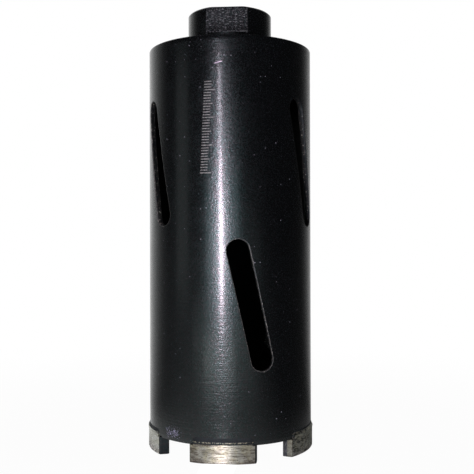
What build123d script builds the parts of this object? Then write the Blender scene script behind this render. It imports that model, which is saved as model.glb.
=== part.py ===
"""Dry diamond core bit: a slotted steel barrel with a screwed hub and welded cutting segments.

Millimetres, +Z up. The origin is on the axis, in the plane of the cutting faces.
A turn is an angle round the axis in degrees, counted from -Y towards +X.
"""

import math
import os

from build123d import *

# Barrel
cutting_diameter = 65.0
outside_clearance = 0.5  # how far a segment stands proud of the barrel, outside
inside_clearance = 1.0  # how far it stands proud inside
barrel_wall = 2.0
barrel_length = 148.5
rim_edge_break = 0.3
rim_land = 0.3  # flat left on the wall's top between the outer edge and the weld groove

# Slots that let the dust out and a stuck core be pushed free
slots_in_a_row = 3
slot_width = 8.4
slot_length = 49.0
slot_tilt = 12.6
upper_slots_below_rim = 45.0
upper_slot_turn = 60.0
lower_slots_above_segments = 50.5
lower_slot_turn = 13.2

# Cutting segments
segment_count = 5
segment_turn = -5.4
segment_length = 24.4
segment_height = 6.5
segment_corner_radius = 0.5
segment_edge_break = 0.3

# Weld bead over the outside of a segment's joint, ground level with the segment's face
bead_ground_height = 0.7
bead_crest_rise = 0.5
bead_crest_proud = 0.15
bead_taper_height = 1.7
bead_end_margin = 0.7
bead_corner_radius = 1.2

# End plate, dropped into the top of the barrel and welded round the rim
plate_thickness = 5.0
plate_clearance = 0.05
weld_crown = 0.3

# Hub, for a half-inch pipe thread
hub_diameter = 33.0
hub_height = 15.0
hub_edge_break = 0.6
hub_turn = -4.6
spanner_flat_depth = 2.0
spanner_flat_height = 10.0
spigot_wall = 2.0  # left outside the thread's root
spigot_clearance = 0.05
spigot_edge_break = 0.3
thread_major_diameter = 20.96
thread_depth = 1.16
thread_mouth_relief = 0.3
hub_weld_leg = 3.0

# Sizes and levels that follow
cutting_radius = cutting_diameter / 2
barrel_radius = cutting_radius - outside_clearance
bore_radius = barrel_radius - barrel_wall
segment_inner_radius = bore_radius - inside_clearance
barrel_bottom = segment_height
barrel_top = barrel_bottom + barrel_length
weld_groove = barrel_wall - rim_edge_break - rim_land
plate_radius = bore_radius - plate_clearance
plate_bottom = barrel_top - plate_thickness
hub_radius = hub_diameter / 2
hub_top = barrel_top + hub_height
thread_major_radius = thread_major_diameter / 2
thread_minor_radius = thread_major_radius - thread_depth
thread_mouth_radius = thread_major_radius + thread_mouth_relief
spigot_radius = thread_major_radius + spigot_wall
plate_hole_radius = spigot_radius + spigot_clearance


def outward(turn):
    """Unit vector that points away from the axis at a turn."""
    angle = math.radians(turn)
    return Vector(math.sin(angle), -math.cos(angle), 0)


def sideways(turn):
    """Unit vector along the circle at a turn, towards larger turns."""
    angle = math.radians(turn)
    return Vector(math.cos(angle), math.sin(angle), 0)


def wall_plane(turn, height):
    """Upright plane through the axis that faces outwards at a turn, with its Y axis up."""
    return Plane(origin=(0, 0, height), x_dir=sideways(turn), z_dir=outward(turn))


def level_plane(turn, height):
    """Level plane on the axis whose -Y axis points outwards at a turn."""
    return Plane(origin=(0, 0, height), x_dir=sideways(turn), z_dir=(0, 0, 1))


def turns_round(count, first_turn):
    """Evenly spaced turns all the way round, starting from the first."""
    return [first_turn + 360 / count * index for index in range(count)]


os.makedirs("parts", exist_ok=True)


# Barrel: a drawn tube, grooved inside its top edge for the rim weld, with two rows of slots
with BuildPart() as barrel:
    with BuildSketch(Plane.XY.offset(barrel_bottom)):
        Circle(barrel_radius)
        Circle(bore_radius, mode=Mode.SUBTRACT)
    extrude(amount=barrel_length)
    rim_edges = barrel.faces().sort_by(Axis.Z)[-1].edges().sort_by(SortBy.RADIUS)
    chamfer(rim_edges[0], weld_groove)
    chamfer(rim_edges[-1], rim_edge_break)

    upper_row = (barrel_top - upper_slots_below_rim, upper_slot_turn)
    lower_row = (barrel_bottom + lower_slots_above_segments, lower_slot_turn)
    for slot_centre, first_turn in (upper_row, lower_row):
        for turn in turns_round(slots_in_a_row, first_turn):
            with BuildSketch(wall_plane(turn, slot_centre)):
                SlotOverall(slot_length, slot_width, rotation=90 + slot_tilt)
            extrude(amount=cutting_radius, mode=Mode.SUBTRACT)

barrel.part.label = "barrel"
export_step(barrel.part, "parts/barrel.step")


# End plate: a turned disc with a hole for the hub's spigot and its half of the weld groove
with BuildPart() as end_plate:
    with BuildSketch(Plane.XY.offset(plate_bottom)):
        Circle(plate_radius)
        Circle(plate_hole_radius, mode=Mode.SUBTRACT)
    extrude(amount=plate_thickness)
    plate_top_edges = end_plate.faces().sort_by(Axis.Z)[-1].edges().sort_by(SortBy.RADIUS)
    chamfer(plate_top_edges[-1], weld_groove)

end_plate.part.label = "end_plate"
export_step(end_plate.part, "parts/end_plate.step")


# Rim weld: fills the groove between the barrel and the end plate, slightly crowned
with BuildPart() as rim_weld:
    with BuildSketch(Plane.XZ):
        with BuildLine():
            plate_side = (plate_radius - weld_groove, barrel_top)
            root_inside = (plate_radius, barrel_top - weld_groove)
            root_outside = (bore_radius, barrel_top - weld_groove)
            barrel_side = (bore_radius + weld_groove, barrel_top)
            crown = ((plate_radius + bore_radius) / 2, barrel_top + weld_crown)
            Polyline(plate_side, root_inside, root_outside, barrel_side, crown, close=True)
        make_face()
    revolve(axis=Axis.Z)

rim_weld.part.label = "rim_weld"
export_step(rim_weld.part, "parts/rim_weld.step")


# Hub: turned with a spigot that drops into the end plate, bored for the thread, with two flats
with BuildPart() as hub:
    with BuildSketch(Plane.XZ):
        with BuildLine():
            Polyline(
                (thread_mouth_radius, hub_top),
                (hub_radius - hub_edge_break, hub_top),
                (hub_radius, hub_top - hub_edge_break),
                (hub_radius, barrel_top),
                (spigot_radius, barrel_top),
                (spigot_radius, plate_bottom + spigot_edge_break),
                (spigot_radius - spigot_edge_break, plate_bottom),
                (thread_mouth_radius, plate_bottom),
                (thread_minor_radius, plate_bottom + thread_mouth_radius - thread_minor_radius),
                (thread_minor_radius, hub_top - thread_mouth_radius + thread_minor_radius),
                close=True,
            )
        make_face()
    revolve(axis=Axis.Z)
    with BuildSketch(level_plane(hub_turn, hub_top - spanner_flat_height)):
        Rectangle(2 * hub_diameter, 2 * hub_diameter)
        Rectangle(2 * hub_diameter, hub_diameter - 2 * spanner_flat_depth, mode=Mode.SUBTRACT)
    extrude(amount=spanner_flat_height, mode=Mode.SUBTRACT)

hub.part.label = "hub"
export_step(hub.part, "parts/hub.step")


# Hub weld: a fillet bead round the foot of the hub, slightly convex
with BuildPart() as hub_weld:
    with BuildSketch(Plane.XZ):
        with BuildLine():
            foot = (hub_radius, barrel_top)
            toe_up = (hub_radius, barrel_top + hub_weld_leg)
            toe_out = (hub_radius + hub_weld_leg, barrel_top)
            middle = hub_weld_leg / 2 + weld_crown
            crown = (hub_radius + middle, barrel_top + middle)
            Polyline(foot, toe_out, crown, toe_up, close=True)
        make_face()
    revolve(axis=Axis.Z)

hub_weld.part.label = "hub_weld"
export_step(hub_weld.part, "parts/hub_weld.step")


for number, turn in enumerate(turns_round(segment_count, segment_turn), start=1):
    # Segment: a sintered block curved like the barrel, with ends parallel to its middle plane
    with BuildPart() as segment:
        with BuildSketch(level_plane(turn, 0)):
            Circle(cutting_radius)
            Circle(segment_inner_radius, mode=Mode.SUBTRACT)
            with Locations((0, -cutting_radius)):
                Rectangle(segment_length, cutting_radius * 2, mode=Mode.INTERSECT)
        extrude(amount=segment_height)
        upright_edges = segment.edges().filter_by(Axis.Z)
        fillet(upright_edges, segment_corner_radius)
        chamfer(segment.faces().sort_by(Axis.Z)[0].edges(), segment_edge_break)

    segment.part.label = f"segment_{number}"
    export_step(segment.part, f"parts/segment_{number}.step")

    # Bead: a ring over the joint, trimmed to the segment's length with rounded upper corners
    with BuildPart() as segment_weld:
        with BuildSketch(Plane.XZ):
            with BuildLine():
                ground_top = barrel_bottom + bead_ground_height
                crest = ground_top + bead_crest_rise
                Polyline(
                    (barrel_radius, barrel_bottom),
                    (cutting_radius, barrel_bottom),
                    (cutting_radius, ground_top),
                    (cutting_radius + bead_crest_proud, crest),
                    (barrel_radius, crest + bead_taper_height),
                    close=True,
                )
            make_face()
        revolve(axis=Axis.Z)
        bead_length = segment_length - 2 * bead_end_margin
        bead_height = bead_ground_height + bead_crest_rise + bead_taper_height
        with BuildSketch(wall_plane(turn, barrel_bottom)):
            RectangleRounded(bead_length, 2 * bead_height, bead_corner_radius)
        extrude(amount=cutting_diameter, mode=Mode.INTERSECT)

    segment_weld.part.label = f"segment_weld_{number}"
    export_step(segment_weld.part, f"parts/segment_weld_{number}.step")
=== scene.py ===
"""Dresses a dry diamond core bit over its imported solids.

Metres in the scene, millimetres in the sizes below, +Z up, origin on the axis in the plane of the
cutting faces. A turn is an angle round the axis in degrees, counted from -Y towards +X.
"""

import logging
import math
from dataclasses import dataclass, field
from enum import Enum
from typing import Callable, Protocol, Sequence

import bmesh
import bpy
import numpy as np
from mathutils import Matrix, Quaternion, Vector, noise
from mathutils.geometry import delaunay_2d_cdt

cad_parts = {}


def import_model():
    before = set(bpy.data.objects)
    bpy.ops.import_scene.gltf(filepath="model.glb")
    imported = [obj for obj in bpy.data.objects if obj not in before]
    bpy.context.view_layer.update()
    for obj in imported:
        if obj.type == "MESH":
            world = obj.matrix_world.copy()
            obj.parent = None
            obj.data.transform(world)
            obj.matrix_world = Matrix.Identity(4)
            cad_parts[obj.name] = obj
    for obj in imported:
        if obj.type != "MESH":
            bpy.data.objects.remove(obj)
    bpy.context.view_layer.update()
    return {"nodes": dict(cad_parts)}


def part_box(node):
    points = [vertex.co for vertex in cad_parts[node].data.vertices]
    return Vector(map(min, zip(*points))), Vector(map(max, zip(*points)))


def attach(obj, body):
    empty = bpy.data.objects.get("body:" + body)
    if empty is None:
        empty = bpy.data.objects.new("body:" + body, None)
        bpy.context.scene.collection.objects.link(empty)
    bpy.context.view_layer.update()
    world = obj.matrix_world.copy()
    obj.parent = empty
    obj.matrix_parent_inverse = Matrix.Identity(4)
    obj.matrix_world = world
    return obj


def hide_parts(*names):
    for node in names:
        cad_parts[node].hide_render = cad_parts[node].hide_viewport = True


log = logging.getLogger("core_bit")

Socket = bpy.types.NodeSocket
Value = float | Socket
Colour = tuple[float, float, float]
Place = tuple[float, float, float]
Span = tuple[float, float]
Step = tuple[float, float, float, float]  # as NodeSheet.ramp takes it: low, high, start, end

MM = 0.001  # metres in a millimetre
BODY = "root"  # the body that every piece rides on
SMOOTH_BELOW = 30.0  # degrees that an edge may turn by and still be shaded smooth
SAME_POINT = 1e-6  # metres below which two points are one
NO_LENGTH = 1e-7  # metres below which an edge is none
PATCH_ROOT = 0.05  # millimetres that a patch reaches into the wall under it
PATCH_RISE = 0.02  # millimetres that it stands proud of the wall
MIX_COLOURS = slice(6, 8)  # where a Mix node takes its two colours
MM_IN_AN_INCH = 25.4
FAR = 1e3  # millimetres beyond every piece
LEAST_COSINE = 1e-3  # keeps a division by a cosine finite
ALMOST_ALL = 0.999
NOISE_MIDDLE: Span = (0.3, 0.7)  # where most of a noise lies


# ---------------------------------------------------------------------------------------------
# Places round the axis
# ---------------------------------------------------------------------------------------------


def outward(turn: float) -> np.ndarray:
    """Unit vector that points away from the axis at a turn."""
    angle = math.radians(turn)
    return np.array([math.sin(angle), -math.cos(angle), 0.0])


def sideways(turn: float) -> np.ndarray:
    """Unit vector along the circle at a turn, towards larger turns."""
    angle = math.radians(turn)
    return np.array([math.cos(angle), math.sin(angle), 0.0])


def on_circle(radius: float | np.ndarray, turns: np.ndarray, height: float | np.ndarray) -> np.ndarray:
    """Points round the axis.

    Args:
        radius: One radius, or one for each turn, in millimetres.
        turns: The turns, in degrees.
        height: One height, or one for each turn, in millimetres.

    Returns:
        An array with a row of x, y and z for each turn.
    """
    angles = np.radians(turns)
    shape = np.ones_like(angles)
    return np.stack([radius * np.sin(angles), -radius * np.cos(angles), height * shape], axis=-1)


def even_turns(count: int, first: float = 0.0) -> np.ndarray:
    """Evenly spaced turns all the way round, starting from the first."""
    return first + 360.0 / count * np.arange(count)


def smaller(first: np.ndarray, second: np.ndarray, blend: float) -> np.ndarray:
    """The smaller of two arrays, rounded over where they cross.

    Args:
        first: One array.
        second: The other array, or a number.
        blend: How far from the crossing the rounding starts.

    Returns:
        The blended minimum.
    """
    share = np.clip(0.5 + 0.5 * (second - first) / blend, 0.0, 1.0)
    return second * (1 - share) + first * share - blend * share * (1 - share)


# ---------------------------------------------------------------------------------------------
# Meshes
# ---------------------------------------------------------------------------------------------


class MeshPiece:
    """A mesh that grows by rings and faces, in millimetres, and ends as one object of the part."""

    def __init__(self, name: str) -> None:
        """Starts an empty piece of that name."""
        self.name = name
        self.bm = bmesh.new()

    def points(self, places: np.ndarray) -> list[bmesh.types.BMVert]:
        """Adds points given in millimetres and returns them in order."""
        return [self.bm.verts.new(Vector(place) * MM) for place in places]

    def strip(self, lower: Sequence, upper: Sequence, closed: bool = True) -> list[bmesh.types.BMFace]:
        """Joins two rows of as many points with four-sided faces.

        Args:
            lower: The first row.
            upper: The second row.
            closed: Whether the rows join up at their ends.

        Returns:
            The new faces.
        """
        count = len(lower)
        faces = []
        for index in range(count if closed else count - 1):
            following = (index + 1) % count
            corners = (lower[index], lower[following], upper[following], upper[index])
            faces.append(self.bm.faces.new(corners))
        return faces

    def loft(
        self, rings: Sequence[np.ndarray], closed_loop: bool = False, finishes: Sequence[int] = ()
    ) -> list[list[bmesh.types.BMVert]]:
        """Skins a row of rings that have as many points each.

        Args:
            rings: The rings, in millimetres.
            closed_loop: Whether the last ring joins the first, as round a tube's section.
            finishes: The material index of each band between two rings; 0 where it is left out.

        Returns:
            The rings as mesh points.
        """
        rows = [self.points(ring) for ring in rings]
        pairs = list(zip(rows, rows[1:])) + ([(rows[-1], rows[0])] if closed_loop else [])
        for number, (lower, upper) in enumerate(pairs):
            finish = finishes[number] if number < len(finishes) else 0
            for face in self.strip(lower, upper):
                face.material_index = finish
        return rows

    def patch(
        self, radius: float, turns: np.ndarray, lows: np.ndarray, highs: np.ndarray, rise: float = PATCH_RISE
    ) -> None:
        """Adds a thin patch that lies on a cylinder.

        Args:
            radius: The cylinder's radius.
            turns: The patch's stations along the circle.
            lows: Its lower height at each station.
            highs: Its upper height at each station.
            rise: How far it stands proud.
        """
        low, high = (self.points(on_circle(radius + rise, turns, heights)) for heights in (lows, highs))
        root = radius - PATCH_ROOT
        root_low, root_high = (self.points(on_circle(root, turns, heights)) for heights in (lows, highs))
        self.strip(low, high, closed=False)
        self.strip(root_low, low, closed=False)
        self.strip(high, root_high, closed=False)
        self.bm.faces.new((low[0], high[0], root_high[0], root_low[0]))
        self.bm.faces.new((low[-1], high[-1], root_high[-1], root_low[-1]))

    def cap(self, row: Sequence[bmesh.types.BMVert]) -> bmesh.types.BMFace:
        """Closes a ring with one face."""
        return self.bm.faces.new(row)

    def finish(self, sharp_above: float = SMOOTH_BELOW) -> bpy.types.Object:
        """Cleans the mesh and turns it into an object that rides on the part.

        Args:
            sharp_above: Edges that turn by more than this many degrees stay sharp.

        Returns:
            The object.
        """
        bmesh.ops.remove_doubles(self.bm, verts=self.bm.verts, dist=SAME_POINT)
        bmesh.ops.dissolve_degenerate(self.bm, edges=self.bm.edges, dist=NO_LENGTH)
        bmesh.ops.recalc_face_normals(self.bm, faces=self.bm.faces)
        mesh = bpy.data.meshes.new(self.name)
        self.bm.to_mesh(mesh)
        self.bm.free()
        mesh.shade_smooth()
        mesh.set_sharp_from_angle(angle=math.radians(sharp_above))
        piece = bpy.data.objects.new(self.name, mesh)
        bpy.context.scene.collection.objects.link(piece)
        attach(piece, BODY)
        return piece


# ---------------------------------------------------------------------------------------------
# Shader nodes
# ---------------------------------------------------------------------------------------------


class Ray(Enum):
    """The kinds of ray that a surface can be told to look different to."""

    CAMERA = "Is Camera Ray"
    GLOSSY = "Is Glossy Ray"


class NodeSheet:
    """A material's nodes, written as short calls."""

    DOT_EDGE: Span = (-0.04, 0.02)  # how soft a dot's edge is, as a share of the dots' spacing

    def __init__(self, name: str) -> None:
        """Starts a material with one Principled shader on its output.

        Args:
            name: The material's name.
        """
        self.material = bpy.data.materials.new(name)
        self.material.use_nodes = True
        self.tree = self.material.node_tree
        self.tree.nodes.clear()
        self.shader = self.tree.nodes.new("ShaderNodeBsdfPrincipled")
        self.output = self.tree.nodes.new("ShaderNodeOutputMaterial")
        self.tree.links.new(self.shader.outputs["BSDF"], self.output.inputs["Surface"])
        self.place = self.tree.nodes.new("ShaderNodeTexCoord").outputs["Object"]

    def feed(self, socket: Socket, value: Value | Sequence[float]) -> None:
        """Links a socket to another, or sets it where the value is a constant.

        Args:
            socket: The socket that takes the value.
            value: Another node's socket, a number or a colour.
        """
        if isinstance(value, bpy.types.NodeSocket):
            self.tree.links.new(value, socket)
        elif isinstance(value, (tuple, list)) and len(value) == 3 and socket.type == "RGBA":
            socket.default_value = (*value, 1.0)
        else:
            socket.default_value = value

    def math(self, operation: str, first: Value, second: Value = 0.0, third: Value = 0.0) -> Socket:
        """A Math node's result.

        Args:
            operation: The node's operation.
            first: Its first value.
            second: Its second value.
            third: Its third value.

        Returns:
            The result's socket.
        """
        node = self.tree.nodes.new("ShaderNodeMath")
        node.operation = operation
        for socket, value in zip(node.inputs, (first, second, third)):
            self.feed(socket, value)
        return node.outputs[0]

    def times(self, first: Value, *others: Value) -> Socket:
        """The product of some values.

        Args:
            first: The first value.
            others: One or more further values.

        Returns:
            The product's socket.
        """
        for other in others:
            first = self.math("MULTIPLY", first, other)
        return first

    def plus(self, first: Value, *others: Value) -> Socket:
        """The sum of some values.

        Args:
            first: The first value.
            others: One or more further values.

        Returns:
            The sum's socket.
        """
        for other in others:
            first = self.math("ADD", first, other)
        return first

    def ramp(
        self, value: Value, low: float, high: float, start: float = 0.0, end: float = 1.0, smooth: bool = True
    ) -> Socket:
        """A step from start to end as the value goes from low to high.

        Args:
            value: The value that is followed.
            low: Where the step begins.
            high: Where it ends.
            start: The result at and below low.
            end: The result at and above high.
            smooth: Whether the step eases in and out, or is straight.

        Returns:
            The result's socket.
        """
        node = self.tree.nodes.new("ShaderNodeMapRange")
        node.interpolation_type = "SMOOTHSTEP" if smooth else "LINEAR"
        for socket, item in zip(node.inputs, (value, low, high, start, end)):
            self.feed(socket, item)
        return node.outputs[0]

    def mix(self, share: Value, first: Colour | Socket, second: Colour | Socket) -> Socket:
        """Mixes two colours.

        Args:
            share: How much of the second colour there is, from 0 to 1.
            first: The first colour.
            second: The second colour.

        Returns:
            The mixed colour's socket.
        """
        node = self.tree.nodes.new("ShaderNodeMix")
        node.data_type = "RGBA"
        self.feed(node.inputs[0], share)
        for socket, colour in zip(node.inputs[MIX_COLOURS], (first, second)):
            self.feed(socket, colour)
        return node.outputs[2]

    def join(self, x: Value, y: Value, z: Value = 0.0) -> Socket:
        """A vector from its three parts.

        Args:
            x: The first part.
            y: The second part.
            z: The third part.

        Returns:
            The vector's socket.
        """
        node = self.tree.nodes.new("ShaderNodeCombineXYZ")
        for socket, value in zip(node.inputs, (x, y, z)):
            self.feed(socket, value)
        return node.outputs[0]

    def noise(self, size: float, detail: float = 2.0, roughness: float = 0.5, vector: Socket | None = None) -> Socket:
        """Cloudy noise from 0 to 1.

        Args:
            size: The size of its blobs in millimetres.
            detail: How many finer layers it has.
            roughness: How strong the finer layers are.
            vector: Where it is read, in metres; the piece's own place if left out.

        Returns:
            The noise's socket.
        """
        node = self.tree.nodes.new("ShaderNodeTexNoise")
        node.inputs["Scale"].default_value = 1 / (size * MM)
        node.inputs["Detail"].default_value = detail
        node.inputs["Roughness"].default_value = roughness
        self.tree.links.new(vector or self.place, node.inputs["Vector"])
        return node.outputs["Fac"]

    def dots(self, spacing: float, radius: float, share: Value, wall: float = 0.0) -> Socket:
        """Small round dots scattered at random.

        Args:
            spacing: The mean distance between the places where a dot may be, in millimetres.
            radius: A large dot's radius in millimetres.
            share: The share of the places that hold a dot.
            wall: The radius of the wall that they are scattered over, or 0 to scatter them in space.

        Returns:
            1 on a dot and 0 off it.
        """
        node = self.tree.nodes.new("ShaderNodeTexVoronoi")
        node.inputs["Scale"].default_value = 1 / (spacing * MM)
        if wall:
            node.voronoi_dimensions = "2D"
        self.tree.links.new(self.unrolled(wall) if wall else self.place, node.inputs["Vector"])
        split = self.tree.nodes.new("ShaderNodeSeparateColor")
        self.tree.links.new(node.outputs["Color"], split.inputs[0])
        size = self.times(split.outputs[1], radius / spacing)
        inside = self.ramp(self.math("SUBTRACT", node.outputs["Distance"], size), *self.DOT_EDGE, 1.0, 0.0)
        chosen = self.math("LESS_THAN", split.outputs[0], share)
        return self.times(inside, chosen)

    def axes(self) -> tuple[Socket, Socket, Socket]:
        """The place split up.

        Returns:
            The sockets of x, y and z, in metres.
        """
        split = self.tree.nodes.new("ShaderNodeSeparateXYZ")
        self.tree.links.new(self.place, split.inputs[0])
        return split.outputs[0], split.outputs[1], split.outputs[2]

    def radius(self) -> Socket:
        """The distance from the axis, in metres."""
        x, y, _ = self.axes()
        return self.math("SQRT", self.plus(self.times(x, x), self.times(y, y)))

    def turn(self) -> Socket:
        """The turn round the axis, in degrees from -180 to 180."""
        x, y, _ = self.axes()
        return self.times(self.math("ARCTAN2", x, self.times(y, -1.0)), 180 / math.pi)

    def unrolled(self, radius: float, along: float = 1.0, up: float = 1.0) -> Socket:
        """The wall unrolled flat, stretched along or up.

        Args:
            radius: The wall's radius in millimetres.
            along: How much the way round is multiplied by.
            up: How much the height is multiplied by.

        Returns:
            A vector of the way round, the height and the radius, in metres.
        """
        way = self.times(self.turn(), math.radians(radius * MM) * along)
        return self.join(way, self.times(self.axes()[2], up), self.radius())

    def ray(self, kind: Ray) -> Socket:
        """Whether the ray that looks is of a kind, as 1 or 0."""
        return self.tree.nodes.new("ShaderNodeLightPath").outputs[kind.value]

    def shine(self, strength: Value, share: Value) -> None:
        """Blends a white glow over the shader.

        Args:
            strength: How bright the glow is.
            share: How much of it there is, from 0 to 1.
        """
        light = self.tree.nodes.new("ShaderNodeEmission")
        blend = self.tree.nodes.new("ShaderNodeMixShader")
        self.feed(light.inputs["Strength"], strength)
        self.feed(blend.inputs[0], share)
        self.tree.links.new(self.shader.outputs[0], blend.inputs[1])
        self.tree.links.new(light.outputs[0], blend.inputs[2])
        self.tree.links.new(blend.outputs[0], self.output.inputs["Surface"])

    def bump(self, height: Socket, depth: float, under: Socket | None = None) -> Socket:
        """A bumped normal.

        Args:
            height: The height, from 0 to 1.
            depth: What a height of 1 stands for, in millimetres.
            under: The normal that it is laid over.

        Returns:
            The normal's socket.
        """
        node = self.tree.nodes.new("ShaderNodeBump")
        node.inputs["Distance"].default_value = depth * MM
        self.tree.links.new(height, node.inputs["Height"])
        if under is not None:
            self.tree.links.new(under, node.inputs["Normal"])
        return node.outputs["Normal"]

    def surface(self, **values: Value | Sequence[float]) -> bpy.types.Material:
        """Sets or links the shader's sockets.

        Args:
            values: What each socket takes, by its name with _ for a space.

        Returns:
            The material.
        """
        for name, value in values.items():
            self.feed(self.shader.inputs[name.replace("_", " ")], value)
        return self.material


# ---------------------------------------------------------------------------------------------
# Finishes
# ---------------------------------------------------------------------------------------------


class Finish(Protocol):
    """What every finish has: a name, and a way to make its material."""

    name: str

    def build(self) -> bpy.types.Material:
        """Returns the finish as a material."""


@dataclass(frozen=True)
class BlackPaint:
    """Satin black paint over a fine orange peel, with a faint metallic grain and stray specks.

    In all finishes sizes and depths are in millimetres. A range says where a noise from 0 to 1
    starts to show and where it shows fully.
    """

    name: str = "black_paint"
    colour: Colour = (0.0020, 0.0022, 0.0026)
    fleck_colour: Colour = (0.010, 0.012, 0.014)
    fleck_size: float = 0.45
    fleck_range: Span = (0.50, 0.75)
    fleck_reach: Span = (0.3, 0.8)
    fleck_dullness: Span = (-0.05, 0.10)
    speck_colour: Colour = (0.26, 0.26, 0.30)
    speck_spacing: float = 2.2
    speck_radius: float = 0.24
    speck_shares: Span = (0.07, 0.22)
    speck_heights: Span = (120.0, 156.0)
    cool_gloss: Colour = (0.68, 0.98, 0.96)
    warm_gloss: Colour = (0.94, 0.97, 1.0)
    gloss_size: float = 0.8
    gloss_range: Span = (0.40, 0.60)
    roughness: float = 0.25
    cloud_size: float = 9.0
    cloud_dullness: Span = (-0.02, 0.03)
    grain_size: float = 0.62
    grain_depth: float = 0.082
    coat_weight: float = 0.52
    coat_roughness: float = 0.145
    peel_size: float = 0.80
    peel_depth: float = 0.018
    wall: float = 0.0
    index: float = 1.5

    def coat(self, sheet: NodeSheet) -> dict[str, Value]:
        """Lays the paint on a sheet.

        Args:
            sheet: The nodes that it is added to.

        Returns:
            The paint's sockets by the name of the shader's socket.
        """
        flecks = sheet.noise(self.fleck_size, detail=2.0, roughness=0.7)
        colour = sheet.mix(sheet.ramp(flecks, *self.fleck_range), self.colour, self.fleck_colour)
        low, high = (height * MM for height in self.speck_heights)
        share = sheet.ramp(sheet.axes()[2], low, high, *self.speck_shares)
        specks = sheet.dots(self.speck_spacing, self.speck_radius, share, self.wall)
        colour = sheet.mix(specks, colour, self.speck_colour)
        clear, cloudy = (self.roughness + shift for shift in self.cloud_dullness)
        cloud = sheet.ramp(sheet.noise(self.cloud_size, detail=3.0), *NOISE_MIDDLE, clear, cloudy)
        roughness = sheet.plus(cloud, sheet.ramp(flecks, *self.fleck_reach, *self.fleck_dullness))
        warm = sheet.ramp(sheet.noise(self.gloss_size, detail=1.0), *self.gloss_range)
        gloss = sheet.mix(warm, self.cool_gloss, self.warm_gloss)
        peel = sheet.bump(sheet.noise(self.peel_size, detail=1.5, roughness=0.6), self.peel_depth)
        grain = sheet.noise(self.grain_size, detail=2.5, roughness=0.6)
        return {
            "Base_Color": colour,
            "Roughness": roughness,
            "Specular_Tint": gloss,
            "Normal": sheet.bump(grain, self.grain_depth, peel),
            "Coat_Weight": self.coat_weight,
            "Coat_Roughness": self.coat_roughness,
            "Coat_Normal": peel,
        }

    def build(self) -> bpy.types.Material:
        """Returns the paint as a material."""
        sheet = NodeSheet(self.name)
        return sheet.surface(**self.coat(sheet), Metallic=0.0, IOR=self.index)


@dataclass(frozen=True)
class TubePaint(BlackPaint):
    """The barrel's paint outside: turning marks show through low down, and one spot is scuffed.

    The scuff's turns and heights say where it starts, is full, starts to fade and ends.
    """

    name: str = "tube_paint"
    wall: float = 32.0
    marks_size: float = 0.55
    marks_stretch: float = 0.05
    marks_depth: float = 0.042
    marks_heights: Span = (35.0, 75.0)
    marks_shares: Span = (1.0, 0.25)
    scuff_turns: tuple[float, float, float, float] = (-53.0, -45.0, -40.0, -31.0)
    scuff_heights: tuple[float, float, float, float] = (6.4, 8.8, 10.0, 13.5)
    scuff_colour: Colour = (0.40, 0.40, 0.55)
    scuff_range: Span = (0.67, 0.735)
    scuff_lift: float = 0.10
    scuff_soft: float = 0.6
    scuff_dullness: float = 0.2
    streak_size: float = 0.42
    streak_stretch: float = 0.35
    scrape_size: float = 0.45

    def scuff(self, sheet: NodeSheet) -> Socket:
        """Finds where the paint is scuffed.

        Args:
            sheet: The nodes that the scuff is added to.

        Returns:
            The socket of the scuff's strength, from 0 to 1.
        """
        spot = 1.0
        for place, (start, full, fade, end) in (
            (sheet.turn(), self.scuff_turns),
            (sheet.axes()[2], tuple(height * MM for height in self.scuff_heights)),
        ):
            spot = sheet.times(sheet.ramp(place, start, full), sheet.ramp(place, fade, end, 1.0, 0.0), spot)
        way = sheet.unrolled(self.wall, up=self.streak_stretch)
        streaks = sheet.noise(self.streak_size, detail=2.0, roughness=0.7, vector=way)
        scrapes = sheet.noise(self.scrape_size, detail=2.0, roughness=0.8)
        worn = sheet.plus(sheet.math("MAXIMUM", streaks, scrapes), sheet.times(spot, self.scuff_lift))
        return sheet.times(sheet.ramp(worn, *self.scuff_range), sheet.ramp(spot, 0.0, self.scuff_soft))

    def build(self) -> bpy.types.Material:
        """Makes the paint with its marks and its scuff.

        Returns:
            The paint as a material.
        """
        sheet = NodeSheet(self.name)
        coat = self.coat(sheet)
        way = sheet.unrolled(self.wall, along=self.marks_stretch)
        marks = sheet.noise(self.marks_size, detail=1.5, roughness=0.6, vector=way)
        low, high = (height * MM for height in self.marks_heights)
        marks = sheet.times(marks, sheet.ramp(sheet.axes()[2], low, high, *self.marks_shares))
        for layer in ("Normal", "Coat_Normal"):
            coat[layer] = sheet.bump(marks, self.marks_depth, coat[layer])
        worn = self.scuff(sheet)
        coat["Base_Color"] = sheet.mix(worn, coat["Base_Color"], self.scuff_colour)
        coat["Roughness"] = sheet.plus(coat["Roughness"], sheet.times(worn, self.scuff_dullness))
        return sheet.surface(**coat, Metallic=0.0, IOR=self.index)


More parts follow.
